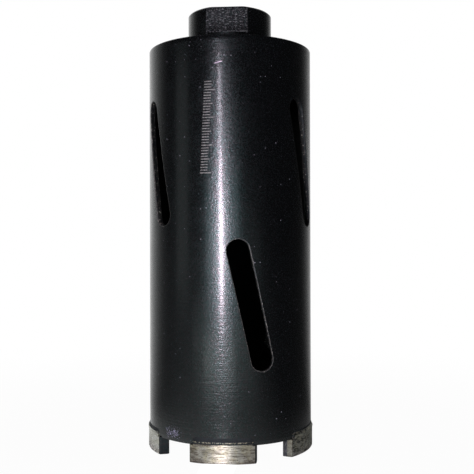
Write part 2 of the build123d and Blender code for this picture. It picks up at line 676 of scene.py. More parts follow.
@dataclass(frozen=True)
class FlatPaint(BlackPaint):
    """Thin paint over the milled spanner flats, rubbed through in flecks and along their edges, where the paler paint
    is also a painted highlight.
    """

    name: str = "flat_paint"
    wall: float = 14.5
    roughness: float = 0.30
    coat_weight: float = 0.0
    bare_colour: Colour = (0.38, 0.40, 0.41)
    bare_range: Span = (0.53, 0.66)
    bare_metallic: float = 0.9
    gloss: float = 0.34
    flats_turn: float = -4.6
    half_width: float = 7.87
    rim_width: float = 0.9
    rim_share: float = 0.12
    ledge: float = 160.0
    foot_heights: Span = (0.2, 1.1)
    foot_across: Span = (-4.0, 3.0)
    foot_shares: Span = (0.25, 1.0)
    edge_share: float = 0.16
    streak_size: float = 0.40
    streak_stretch: float = 0.4
    streak_depth: float = 0.05

    def edges(self, sheet: NodeSheet, across: Socket) -> Socket:
        """Finds the flats' paler edges, rubbed paint that is also a painted highlight: their sides, and their foot
        towards one side.

        Args:
            sheet: The nodes that the edges are added to.
            across: How far across the flat a point lies, in metres.

        Returns:
            The socket of the edges' strength, from 0 to 1.
        """
        side = self.half_width * MM
        rim = sheet.ramp(sheet.math("ABSOLUTE", across), (self.half_width - self.rim_width) * MM, side)
        low, high = ((self.ledge + height) * MM for height in self.foot_heights)
        left, right = (place * MM for place in self.foot_across)
        # The foot's pale line, brighter towards one side, is partly a painted highlight of the ledge.
        foot = sheet.ramp(sheet.axes()[2], low, high, 1.0, 0.0)
        foot = sheet.times(foot, sheet.ramp(across, left, right, *self.foot_shares))
        return sheet.math("MAXIMUM", sheet.times(rim, self.rim_share), foot)

    def build(self) -> bpy.types.Material:
        """Makes the rubbed paint.

        Returns:
            The paint as a material.
        """
        sheet = NodeSheet(self.name)
        coat = self.coat(sheet)
        x, y, z = sheet.axes()
        angle = math.radians(self.flats_turn)
        across = sheet.plus(sheet.times(x, math.cos(angle)), sheet.times(y, math.sin(angle)))
        way = sheet.join(sheet.times(across, self.streak_stretch), z)
        streaks = sheet.noise(self.streak_size, detail=3.0, roughness=0.8, vector=way)
        worn = sheet.plus(streaks, sheet.times(self.edges(sheet, across), self.edge_share))
        bare = sheet.ramp(worn, *self.bare_range)
        coat["Base_Color"] = sheet.mix(bare, coat["Base_Color"], self.bare_colour)
        coat["Normal"] = sheet.bump(streaks, self.streak_depth, coat["Normal"])
        metallic = sheet.times(bare, self.bare_metallic)
        return sheet.surface(**coat, Metallic=metallic, IOR=self.index, Specular_IOR_Level=self.gloss)


@dataclass(frozen=True)
class RoughPaint(BlackPaint):
    """Thick paint on welds, cut walls and the bore, where the metal below is rough; some copies carry painted shade
    and painted highlights.
    """

    name: str = "rough_paint"
    colour: Colour = (0.0040, 0.0044, 0.0050)
    roughness: float = 0.50
    coat_weight: float = 0.0
    grain_size: float = 0.9
    peel_size: float = 0.9
    gloss: float = 0.42
    blotch_colour: Colour = (0.0040, 0.0044, 0.0050)
    blotch_size: float = 1.6
    blotch_range: Span = (0.46, 0.60)
    bare_share: float = 0.0
    bare_colour: Colour = (0.30, 0.29, 0.26)
    bare_size: float = 0.7
    bare_range: Span = (0.72, 0.80)

    def build(self) -> bpy.types.Material:
        """Makes the paint, with pale flecks in a share of its grain: the metal showing, and in some copies painted
        glints.

        Returns:
            The paint as a material.
        """
        sheet = NodeSheet(self.name)
        coat = self.coat(sheet)
        blotches = sheet.noise(self.blotch_size, detail=3.0, roughness=0.65)
        colour = sheet.mix(sheet.ramp(blotches, *self.blotch_range), coat["Base_Color"], self.blotch_colour)
        low, high = (limit - self.bare_share for limit in self.bare_range)
        bare = sheet.ramp(sheet.noise(self.bare_size, detail=3.0, roughness=0.7), low, high)
        coat["Base_Color"] = sheet.mix(bare, colour, self.bare_colour)
        return sheet.surface(**coat, Metallic=0.0, IOR=self.index, Specular_IOR_Level=self.gloss)


@dataclass(frozen=True)
class GroundMetal:
    """Sintered metal and diamond, ground round its outer face."""

    name: str = "ground_metal"
    light: Colour = (0.59, 0.56, 0.42)
    pale: Colour = (0.58, 0.57, 0.495)
    dark: Colour = (0.145, 0.128, 0.097)
    pit: Colour = (0.05, 0.045, 0.035)
    tint_size: float = 2.4
    tint_range: Span = (0.40, 0.60)
    tone_range: Span = (0.38, 0.60)
    roughness: float = 0.325
    dullness: Span = (-0.10, 0.12)
    face_radius: float = 32.5
    streak_size: float = 0.32
    streak_length: float = 11.0
    scratch_share: float = 0.6
    scratch_depth: float = 0.020
    broad_size: float = 1.1
    broad_stretch: float = 0.35
    grit_size: float = 0.50
    grit_range: Span = (0.54, 0.70)
    grit_share: float = 0.75
    grit_depth: float = 0.030
    pit_spacing: float = 0.8
    pit_radius: float = 0.20
    pit_share: float = 0.45
    brushed: float = 0.75
    metallic: float = 0.80

    def build(self) -> bpy.types.Material:
        """Makes the metal, streaked round the axis, gritty and pitted.

        Returns:
            The metal as a material.
        """
        sheet = NodeSheet(self.name)
        way = sheet.unrolled(self.face_radius, along=1 / self.streak_length)
        scratches = sheet.noise(self.streak_size, detail=3.0, roughness=0.65, vector=way)
        way = sheet.unrolled(self.face_radius, along=self.broad_stretch)
        broad = sheet.noise(self.broad_size, detail=3.0, roughness=0.6, vector=way)
        grit = sheet.noise(self.grit_size, detail=2.0, roughness=0.6)
        tone = sheet.plus(sheet.times(scratches, self.scratch_share), sheet.times(broad, 1 - self.scratch_share))
        tint = sheet.ramp(sheet.noise(self.tint_size, detail=2.0), *self.tint_range)
        colour = sheet.mix(sheet.ramp(tone, *self.tone_range), self.dark, sheet.mix(tint, self.light, self.pale))
        colour = sheet.mix(sheet.ramp(grit, *self.grit_range, 0.0, self.grit_share), colour, self.dark)
        colour = sheet.mix(sheet.dots(self.pit_spacing, self.pit_radius, self.pit_share), colour, self.pit)
        keen, dull = (self.roughness + shift for shift in self.dullness)
        return sheet.surface(
            Base_Color=colour,
            Roughness=sheet.ramp(scratches, *NOISE_MIDDLE, keen, dull),
            Normal=sheet.bump(grit, self.grit_depth, sheet.bump(scratches, self.scratch_depth)),
            Metallic=self.metallic,
            Anisotropic=self.brushed,
            Tangent=sheet.join(0.0, 0.0, 1.0),
        )


@dataclass(frozen=True)
class BareSteel:
    """Machined or rubbed steel with fine marks round the axis."""

    name: str = "bare_steel"
    light: Colour = (0.40, 0.40, 0.40)
    dark: Colour = (0.16, 0.16, 0.165)
    tone_range: Span = (0.36, 0.62)
    roughness: float = 0.32
    dullness: Span = (-0.06, 0.14)
    marks_size: float = 0.25
    marks_radius: float = 12.0
    marks_stretch: float = 0.05
    marks_share: float = 0.5
    marks_depth: float = 0.006
    blotch_size: float = 0.9
    metallic: float = 1.0

    def build(self) -> bpy.types.Material:
        """Makes the steel.

        Returns:
            The steel as a material.
        """
        sheet = NodeSheet(self.name)
        way = sheet.unrolled(self.marks_radius, along=self.marks_stretch)
        lines = sheet.noise(self.marks_size, detail=2.0, roughness=0.6, vector=way)
        blotches = sheet.noise(self.blotch_size, detail=3.0, roughness=0.7)
        tone = sheet.plus(sheet.times(lines, self.marks_share), sheet.times(blotches, 1 - self.marks_share))
        keen, dull = (self.roughness + shift for shift in self.dullness)
        return sheet.surface(
            Base_Color=sheet.mix(sheet.ramp(tone, *self.tone_range), self.dark, self.light),
            Roughness=sheet.ramp(blotches, *NOISE_MIDDLE, keen, dull),
            Normal=sheet.bump(lines, self.marks_depth),
            Metallic=self.metallic,
        )


@dataclass(frozen=True)
class EtchedMark:
    """The pale, matt trace that a laser leaves in black paint."""

    name: str = "etched_mark"
    pale: Colour = (0.36, 0.36, 0.34)
    dim: Colour = (0.10, 0.10, 0.10)
    cover_size: float = 0.45
    cover_range: Span = (0.36, 0.58)
    cover_depth: float = 0.01
    roughness: Span = (0.55, 0.8)

    def build(self) -> bpy.types.Material:
        """Makes the trace.

        Returns:
            The trace as a material.
        """
        sheet = NodeSheet(self.name)
        cover = sheet.noise(self.cover_size, detail=2.0, roughness=0.7)
        return sheet.surface(
            Base_Color=sheet.mix(sheet.ramp(cover, *self.cover_range), self.dim, self.pale),
            Roughness=sheet.ramp(cover, *NOISE_MIDDLE, *self.roughness),
            Normal=sheet.bump(cover, self.cover_depth),
            Metallic=0.0,
        )


@dataclass(frozen=True)
class PaintChip:
    """A bright nick where something scraped the paint off."""

    name: str = "paint_chip"
    bright: Colour = (0.75, 0.64, 0.74)
    soft: Colour = (0.55, 0.42, 0.58)
    cover_size: float = 0.5
    cover_range: Span = (0.35, 0.60)
    roughness: Span = (0.3, 0.5)
    metallic: float = 0.3

    def build(self) -> bpy.types.Material:
        """Makes the nick's bright metal.

        Returns:
            The metal as a material.
        """
        sheet = NodeSheet(self.name)
        cover = sheet.noise(self.cover_size, detail=2.0, roughness=0.6)
        return sheet.surface(
            Base_Color=sheet.mix(sheet.ramp(cover, *self.cover_range), self.soft, self.bright),
            Roughness=sheet.ramp(cover, *NOISE_MIDDLE, *self.roughness),
            Metallic=self.metallic,
        )


FINISHES = (
    BlackPaint(),
    TubePaint(),
    FlatPaint(),
    BareSteel(),
    EtchedMark(),
    PaintChip(),
    RoughPaint(),
    # The bore's paint is darker and duller than the rough paint: painted shade deep inside the tube.
    RoughPaint(
        name="bore_shade_paint",
        colour=(0.0012, 0.0013, 0.0015),
        blotch_colour=(0.0012, 0.0013, 0.0015),
        gloss=0.08,
    ),
    # Its pale flecks are partly bare metal and partly painted glints on the cut walls.
    RoughPaint(
        name="cut_wall_paint",
        roughness=0.36,
        blotch_colour=(0.013, 0.014, 0.012),
        bare_share=0.12,
        bare_colour=(0.34, 0.34, 0.30),
    ),
    # A paler worn edge that also paints the slot edge's highlight line.
    RoughPaint(
        name="worn_highlit_edge_paint",
        colour=(0.06, 0.06, 0.058),
        roughness=0.34,
        blotch_colour=(0.10, 0.10, 0.09),
        bare_share=0.16,
    ),
    RoughPaint(
        name="thin_end_paint",
        colour=(0.040, 0.043, 0.048),
        blotch_colour=(0.060, 0.062, 0.066),
        bare_share=0.16,
    ),
    # The bead's paint is paler than the barrel's and has little gloss: a painted sheen that matches what the barrel's
    # wall reflects there.
    RoughPaint(
        name="bead_sheen_paint",
        colour=(0.023, 0.027, 0.028),
        roughness=0.55,
        grain_depth=0.03,
        gloss=0.20,
        blotch_colour=(0.023, 0.027, 0.028),
    ),
    # The crest's pale line is partly paint rubbed through to the metal and partly a painted highlight along the crest.
    RoughPaint(
        name="rubbed_crest_highlight",
        roughness=0.34,
        bare_share=0.24,
        bare_colour=(0.38, 0.37, 0.26),
    ),
    GroundMetal(),
    GroundMetal(name="plain_metal"),
    # A darker copy of the ground metal: painted shade on the dim right-hand segment, also used on one at the back; its
    # coarser streaks stand for grinding arcs.
    GroundMetal(
        name="painted_shade_metal",
        light=(0.62, 0.62, 0.48),
        pale=(0.58, 0.60, 0.52),
        dark=(0.045, 0.05, 0.04),
        roughness=0.38,
        streak_size=0.65,
        streak_length=2.5,
        grit_share=0.5,
        brushed=0.4,
    ),
    # A much paler copy of the ground metal: painted light on the left-hand segment, which faces the bright side.
    GroundMetal(
        name="painted_light_metal",
        light=(0.96, 0.97, 0.86),
        pale=(0.95, 0.97, 0.92),
        dark=(0.58, 0.585, 0.50),
        roughness=0.30,
        streak_size=0.8,
        streak_length=2.0,
        grit_share=0.35,
        pit_share=0.15,
        metallic=0.95,
    ),
    GroundMetal(
        name="end_metal",
        light=(0.33, 0.36, 0.27),
        pale=(0.33, 0.365, 0.30),
        roughness=0.55,
        brushed=0.0,
    ),
)


class PaintShop:
    """Makes each finish once and dresses the pieces in them."""

    def __init__(self, finishes: Sequence[Finish]) -> None:
        """Makes the finishes' materials."""
        self.materials = {finish.name: finish.build() for finish in finishes}
        log.info("finishes: %d", len(self.materials))

    def dress(self, piece: bpy.types.Object, slot: str, *names: str) -> None:
        """Gives a piece its finishes.

        Args:
            piece: The piece.
            slot: Not used.
            names: Its finishes by name, in the order of its faces' indices.
        """
        for name in names:
            piece.data.materials.append(self.materials[name])


# ---------------------------------------------------------------------------------------------
# Sub-assemblies
# ---------------------------------------------------------------------------------------------


class Row(Enum):
    """The two rows of slots, by the turn of the row's first slot."""

    UPPER = 60.0
    LOWER = 13.2


@dataclass(frozen=True)
class Slot:
    """One slanted, round-ended slot through the wall."""

    turn: float
    centre: float
    width: float = 8.4
    length: float = 49.0
    tilt: float = 12.6
    reach: float = 80.0  # degrees round the axis that are looked at for the slot's edge
    end_steps: int = 20
    side_steps: int = 24

    def outline(self, grow: float = 0.0) -> np.ndarray:
        """The outline in the slot's own plane, across and up from the slot's centre.

        Args:
            grow: How far outside the slot's edge the outline runs, in millimetres.

        Returns:
            An array with a row for each point, all the way round.
        """
        half = (self.length - self.width) / 2
        radius = self.width / 2 + grow
        ends = []
        for middle, start in ((half, 0.0), (-half, math.pi)):
            angles = np.radians(np.linspace(0.0, 180.0, self.end_steps + 1)) + start
            ends.append(np.stack([radius * np.cos(angles), middle + radius * np.sin(angles)], axis=1))
        shares = np.linspace(0.0, 1.0, self.side_steps + 1)[1:-1, None]
        left_side = ends[0][-1] * (1 - shares) + ends[1][0] * shares
        right_side = ends[1][-1] * (1 - shares) + ends[0][0] * shares
        upright = np.concatenate([ends[0], left_side, ends[1], right_side])
        lean = math.radians(self.tilt)
        turned = np.array([[math.cos(lean), math.sin(lean)], [-math.sin(lean), math.cos(lean)]])
        return upright @ turned

    def on_wall(self, radius: float, grow: float = 0.0) -> np.ndarray:
        """The outline where the straight cut meets a cylinder.

        Args:
            radius: The cylinder's radius.
            grow: How far outside the slot's edge the outline runs.

        Returns:
            An array with a row of x, y and z for each point.
        """
        flat = self.outline(grow)
        depth = np.sqrt(radius**2 - flat[:, 0] ** 2)
        return (
            depth[:, None] * outward(self.turn)
            + flat[:, :1] * sideways(self.turn)
            + np.array([0.0, 0.0, self.centre]) + flat[:, 1:] * np.array([0.0, 0.0, 1.0])
        )

    def distance(self, radius: float, turns: np.ndarray, heights: np.ndarray) -> np.ndarray:
        """How far points of a cylinder lie outside the slot's edge, below zero inside it.

        Args:
            radius: The cylinder's radius.
            turns: The points' turns.
            heights: The points' heights.

        Returns:
            The distances in millimetres.
        """
        offset = (turns - self.turn + 180.0) % 360.0 - 180.0
        across = np.where(np.abs(offset) < self.reach, radius * np.sin(np.radians(offset)), FAR)
        up = heights - self.centre
        lean = math.radians(self.tilt)
        along = -across * math.sin(lean) + up * math.cos(lean)
        beside = across * math.cos(lean) + up * math.sin(lean)
        half = (self.length - self.width) / 2
        return np.hypot(along - np.clip(along, -half, half), beside) - self.width / 2


class WallFinish(Enum):
    """The finishes of the barrel's faces, by material index."""

    OUTSIDE = 0
    BORE = 1
    CUT = 2
    # EDGE carries the painted highlight; the unlit slot's edges get the dark rough paint instead.
    EDGE = 3
    UNLIT_EDGE = 4


@dataclass
class Barrel:
    """The slotted tube that carries the segments."""

    wall: float = 2.0
    rim_break: float = 0.3
    rim_land: float = 0.3
    foot_break: float = 0.2
    edge_rounding: float = 0.3
    slot_break: float = 0.30
    slot_break_angles: tuple[float, ...] = (0.0, 30.0, 60.0, 90.0)
    slot_margin: float = 0.42
    slot_clearance: float = 0.7
    # The slot whose edges are left dark, with no painted highlight.
    unlit_edge_slot: int = 0
    slots_in_a_row: int = 3
    upper_below_rim: float = 45.0
    lower_above_foot: float = 50.5
    seam_turn: float = 96.0
    round_steps: int = 180
    height_steps: int = 92
    sharp_above: float = 36.0
    radius: float = field(init=False)
    foot: float = field(init=False)
    rim: float = field(init=False)

    def __post_init__(self) -> None:
        """Reads the outer size from the frame."""
        low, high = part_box("barrel")
        self.radius = (high.x - low.x) / 2 / MM
        self.foot = low.z / MM
        self.rim = high.z / MM

    @property
    def bore(self) -> float:
        """Radius of the bore."""
        return self.radius - self.wall

    @property
    def groove(self) -> float:
        """Leg of the weld groove inside the rim."""
        return self.wall - self.rim_break - self.rim_land

    def slots(self) -> list[Slot]:
        """Places the slots.

        Returns:
            All slots, row by row.
        """
        centres = {Row.UPPER: self.rim - self.upper_below_rim, Row.LOWER: self.foot + self.lower_above_foot}
        return [
            Slot(turn=float(turn), centre=centre)
            for row, centre in centres.items()
            for turn in even_turns(self.slots_in_a_row, row.value)
        ]

    def skin(self, piece: MeshPiece, radius: float, low: float, high: float, finish: WallFinish) -> None:
        """Adds one cylinder of the wall with the slots left open.

        Args:
            piece: The mesh that it joins.
            radius: The cylinder's radius.
            low: Its lower height.
            high: Its upper height.
            finish: Its finish.
        """
        grow = self.slot_margin
        turns = self.seam_turn + 360.0 / self.round_steps * np.arange(self.round_steps + 1)
        heights = np.linspace(low, high, self.height_steps + 1)
        grid_turns, grid_heights = (g.ravel() for g in np.meshgrid(turns, heights))
        clear = np.ones(len(grid_turns), bool)
        for slot in self.slots():
            clear &= slot.distance(radius, grid_turns, grid_heights) > grow + self.slot_clearance
        flat = [Vector((radius * math.radians(t), h)) for t, h in zip(grid_turns[clear], grid_heights[clear])]
        edges = []
        for slot in self.slots():
            ring = slot.on_wall(radius, grow)
            ring_turns = np.degrees(np.arctan2(ring[:, 0], -ring[:, 1]))
            ring_turns = (ring_turns - self.seam_turn) % 360.0 + self.seam_turn
            first = len(flat)
            flat += [Vector((radius * math.radians(t), h)) for t, h in zip(ring_turns, ring[:, 2])]
            edges += [(first + i, first + (i + 1) % len(ring)) for i in range(len(ring))]
        found, _, faces, _, _, _ = delaunay_2d_cdt(flat, edges, [], 0, NO_LENGTH)
        places = np.array([tuple(point) for point in found])
        turned = np.degrees(places[:, 0] / radius)
        rows = piece.points(on_circle(radius, turned, places[:, 1]))
        for face in faces:
            middle = places[list(face)].mean(axis=0)
            turn = np.array([math.degrees(middle[0] / radius)])
            height = np.array([middle[1]])
            if all(slot.distance(radius, turn, height)[0] > grow for slot in self.slots()):
                piece.bm.faces.new([rows[index] for index in face]).material_index = finish.value

    def slot_walls(self, piece: MeshPiece, number: int, slot: Slot) -> None:
        """Adds a slot's cut wall and its rounded edges.

        Args:
            piece: The mesh that they join.
            number: The slot's number, counted from 0.
            slot: The slot.
        """
        edge = self.slot_break
        # Every slot's edge but one carries the painted highlight.
        lip = WallFinish.UNLIT_EDGE if number == self.unlit_edge_slot else WallFinish.EDGE
        angles = np.radians(self.slot_break_angles)
        bands = len(angles) - 1
        finishes = [WallFinish.OUTSIDE] + bands * [lip] + (bands + 1) * [WallFinish.CUT] + [WallFinish.BORE]
        rounded = [(edge * (1 - math.sin(angle)), edge * (1 - math.cos(angle))) for angle in angles]
        outer = [slot.on_wall(self.radius - depth, grow) for grow, depth in rounded]
        inner = [slot.on_wall(self.bore + depth, grow) for grow, depth in reversed(rounded)]
        outer.insert(0, slot.on_wall(self.radius, self.slot_margin))
        inner.append(slot.on_wall(self.bore, self.slot_margin))
        piece.loft(outer + inner, finishes=[finish.value for finish in finishes])

    def build(self) -> bpy.types.Object:
        """Builds the tube with its slots, edge breaks and weld groove.

        Returns:
            The tube.
        """
        piece = MeshPiece("barrel_tube")
        turns = even_turns(self.round_steps, self.seam_turn)
        self.skin(piece, self.radius, self.foot + self.foot_break, self.rim - self.rim_break, WallFinish.OUTSIDE)
        self.skin(piece, self.bore, self.foot + self.foot_break, self.rim - self.groove, WallFinish.BORE)
        for number, slot in enumerate(self.slots()):
            self.slot_walls(piece, number, slot)
        rounding = self.edge_rounding * self.rim_break
        rim = (
            (self.radius, self.rim - self.rim_break),
            (self.radius - rounding, self.rim - rounding),
            (self.radius - self.rim_break, self.rim),
            (self.radius - self.rim_break - self.rim_land, self.rim),
            (self.bore, self.rim - self.groove),
        )
        rounding = self.edge_rounding * self.foot_break
        foot = (
            (self.radius, self.foot + self.foot_break),
            (self.radius - rounding, self.foot + rounding),
            (self.radius - self.foot_break, self.foot),
            (self.bore + self.foot_break, self.foot),
            (self.bore, self.foot + self.foot_break),
        )
        for section in (rim, foot):
            piece.loft([on_circle(radius, turns, height) for radius, height in section])
        tube = piece.finish(self.sharp_above)
        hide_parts("barrel")
        log.info("barrel: radius %.2f mm, %d slots, %d faces", self.radius, len(self.slots()), len(tube.data.polygons))
        return tube

    def dress(self, tube: bpy.types.Object, shop: PaintShop) -> None:
        """Paints the tube, in the order of WallFinish."""
        # The bore gets painted shade, the slots' edges a painted highlight, and the unlit slot's edges the dark rough
        # paint.
        finishes = ("tube_paint", "bore_shade_paint", "cut_wall_paint", "worn_highlit_edge_paint", "rough_paint")
        shop.dress(tube, "barrel_paint", *finishes)


class HubFinish(Enum):
    """The finishes of the hub's faces, by material index."""

    TURNED = 0
    FLAT = 1
    THREAD = 2


@dataclass
class Hub:
    """The threaded hub with its two spanner flats."""

    turn: float = -4.6
    edge_break: float = 0.6
    edge_rounding: float = 0.12
    edge_shares: Span = (0.3, 0.5)  # how much of the rounding its middle takes off outward and upward
    flat_depth: float = 2.0
    flat_height: float = 10.0
    flat_corner: float = 0.35
    flat_tolerance: float = 0.12
    ledge_fillet: tuple[Span, ...] = ((0.5, 0.0), (0.25, 0.07), (0.1, 0.2), (0.03, 0.5))
    spigot_wall: float = 2.0
    spigot_break: float = 0.3
    thread_radius: float = 10.48
    thread_depth: float = 1.16
    thread_relief: float = 0.3
    thread_flat: float = 0.14
    thread_flank: float = 0.72
    thread_rounding: float = 0.4
    threads_per_inch: float = 14.0
    rings_per_thread: int = 14
    round_steps: int = 288
    sharp_above: float = 24.0
    radius: float = field(init=False)
    top: float = field(init=False)
    bottom: float = field(init=False)
    shoulder: float = field(init=False)

    def __post_init__(self) -> None:
        """Reads the outer size from the frame."""
        low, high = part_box("hub")
        self.radius = (high.x - low.x) / 2 / MM
        self.bottom = low.z / MM
        self.top = high.z / MM
        self.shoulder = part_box("barrel")[1].z / MM

    @property
    def pitch(self) -> float:
        """Height of one turn of the thread."""
        return MM_IN_AN_INCH / self.threads_per_inch

    def thread_ring(self, turns: np.ndarray, height: float) -> np.ndarray:
        """One ring of the threaded bore, opened out to the chamfer at each mouth.

        Args:
            turns: The ring's turns.
            height: Its height.

        Returns:
            The ring's points.
        """
        phase = (height / self.pitch - turns / 360.0) % 1.0
        wave = np.clip((1.0 - np.abs(2.0 * phase - 1.0) - self.thread_flat) / self.thread_flank, 0.0, 1.0)
        eased = wave * wave * (3.0 - 2.0 * wave)
        rounded = (1 - self.thread_rounding) * wave + self.thread_rounding * eased
        radius = self.thread_radius - self.thread_depth + self.thread_depth * rounded
        mouth = self.thread_radius + self.thread_relief
        chamfer = mouth - min(self.top - height, height - self.bottom)
        return on_circle(np.maximum(radius, chamfer), turns, height)

    def outer_ring(self, turns: np.ndarray, radius: float, height: float, cut: float | None) -> np.ndarray:
        """One ring of the outside.

        Args:
            turns: The ring's turns.
            radius: The turned radius at that height.
            height: The ring's height.
            cut: How far out from the flats' plane the ring may reach, or None below the flats.

        Returns:
            The ring's points.
        """
        if cut is None:
            return on_circle(radius, turns, height)
        facing = np.maximum(np.abs(np.cos(np.radians(turns - self.turn))), LEAST_COSINE)
        flat = (self.radius - self.flat_depth + cut) / facing
        return on_circle(smaller(flat, np.full_like(flat, radius), self.flat_corner), turns, height)

    def facing(self, face: bmesh.types.BMFace) -> HubFinish:
        """Sorts a face of the hub by where it lies.

        Args:
            face: The face.

        Returns:
            Its finish.
        """
        middle = np.array(face.calc_center_median()) / MM
        reach = math.hypot(middle[0], middle[1])
        if reach < self.thread_radius + self.thread_relief:
            return HubFinish.THREAD
        from_flat = abs(float(middle @ outward(self.turn))) - (self.radius - self.flat_depth)
        ledge = self.top - self.flat_height
        above_ledge = ledge - self.flat_tolerance < middle[2] < self.top - self.edge_break
        return HubFinish.FLAT if above_ledge and abs(from_flat) < self.flat_tolerance else HubFinish.TURNED

    def outside(self) -> list[tuple[float, float, float | None]]:
        """Draws the outside's section, from the top down to the spigot's end.

        Returns:
            The turned radius, the height and the flats' cut of each ring, as outer_ring takes them.
        """
        ledge = self.top - self.flat_height
        spigot = self.thread_radius + self.spigot_wall
        edge, corner = self.edge_break, self.edge_rounding
        off_side, off_top = (corner * share for share in self.edge_shares)
        section: list[tuple[float, float, float | None]] = [
            (self.radius - edge - corner, self.top, 0.0),
            (self.radius - edge + off_side, self.top - off_top, 0.0),
            (self.radius - off_side, self.top - edge, 0.0),
            (self.radius, self.top - edge - corner, 0.0),
            (self.radius, (self.top + ledge) / 2, 0.0),
        ]
        section += [(self.radius, ledge + height, swell) for height, swell in self.ledge_fillet]
        section += [
            (self.radius - corner, ledge, self.radius),
            (self.radius, ledge - corner, None),
            (self.radius, (ledge + self.shoulder) / 2, None),
            (self.radius, self.shoulder, None),
            (spigot, self.shoulder, None),
            (spigot, self.bottom + self.spigot_break, None),
            (spigot - self.spigot_break, self.bottom, None),
        ]
        return section

    def build(self) -> bpy.types.Object:
        """Builds the hub as one closed skin, from the thread over the top to the spigot.

        Returns:
            The hub.
        """
        turns = even_turns(self.round_steps)
        count = round((self.top - self.bottom) / self.pitch * self.rings_per_thread)
        rings = [self.thread_ring(turns, height) for height in np.linspace(self.bottom, self.top, count + 1)]
        rings += [self.outer_ring(turns, *ring) for ring in self.outside()]
        piece = MeshPiece("threaded_hub")
        piece.loft(rings, closed_loop=True)
        for face in piece.bm.faces:
            face.material_index = self.facing(face).value
        hub = piece.finish(self.sharp_above)
        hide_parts("hub")
        log.info("hub: %.1f mm across, %.2f mm pitch", 2 * self.radius, self.pitch)
        return hub

    def dress(self, hub: bpy.types.Object, shop: PaintShop) -> None:
        """Paints the hub, in the order of HubFinish."""
        shop.dress(hub, "hub_paint", "black_paint", "flat_paint", "bare_steel")


